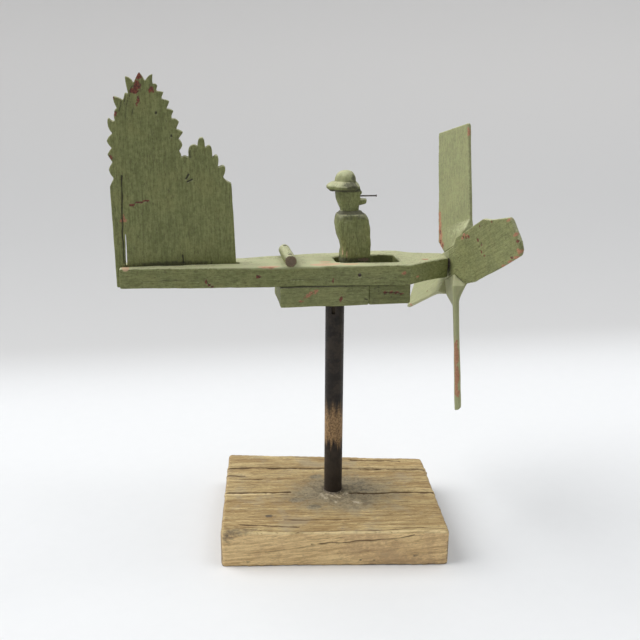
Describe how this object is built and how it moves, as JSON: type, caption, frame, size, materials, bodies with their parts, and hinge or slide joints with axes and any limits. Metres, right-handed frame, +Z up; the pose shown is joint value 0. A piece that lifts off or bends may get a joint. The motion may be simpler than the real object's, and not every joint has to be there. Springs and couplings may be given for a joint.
{
  "type": "whirligig",
  "caption": "Folk-art wind whirligig: carved aeroplane with tree-shaped tail fin, rocking pilot and whittled propeller, turning on an iron pipe over a wooden base.",
  "frame": {"origin": "on the underside of the base block, below the middle of the pipe that the whirligig turns on", "axes": "+Z up along the pipe, +X from the tail fin to the propeller, -Y towards the side the pilot's pivot nail is driven from"},
  "size_m": [0.3992, 0.323, 0.5212],
  "materials": {
    "old_pine": "rough weathered bare wood, open grain",
    "iron_pipe": "near-black oxide with rust showing through",
    "putty": "dry crumbled filler",
    "sage_paint": "flat old sage green paint over red, worn through at the edges",
    "bare_dowel": "plain unpainted wood",
    "old_steel": "dull, darkened and lightly rusted"
  },
  "bodies": {
    "stand": {"base_block": "old_pine", "stand_pipe": "iron_pipe", "foot_filler": "putty", "pipe_plug": "bare_dowel", "pivot_pin": "old_steel", "pivot_washer": "old_steel"},
    "fuselage": {"pivot_block": "sage_paint", "front_block": "sage_paint", "block_nails": "old_steel", "deck_plank": "sage_paint", "tail_fin": "sage_paint", "fin_nails": "old_steel", "cross_dowel": "sage_paint", "dowel_nails": "old_steel", "pilot_cross_nail": "old_steel", "propeller_axle": "old_steel", "nose_washer": "old_steel"},
    "pilot": {"pilot_figure": "sage_paint", "mouth_nail": "old_steel"},
    "propeller": {"propeller_bar_rear": "sage_paint", "propeller_bar_front": "sage_paint", "hub_brads": "old_steel", "front_washer": "old_steel"}
  },
  "joints": [
    {"name": "swivel", "type": "hinge", "parent": "stand", "child": "fuselage", "pos_m": [0, 0, 0.28], "axis": [0, 0, 1], "continuous": true},
    {"name": "propeller_spin", "type": "hinge", "parent": "fuselage", "child": "propeller", "pos_m": [0.1403, 0, 0.3154], "axis": [0.9976, 0, -0.0698], "continuous": true},
    {"name": "pilot_rock", "type": "hinge", "parent": "fuselage", "child": "pilot", "pos_m": [0.0212, 0.001, 0.3129], "axis": [0, 1, 0], "range_deg": [0, 16]}
  ]
}
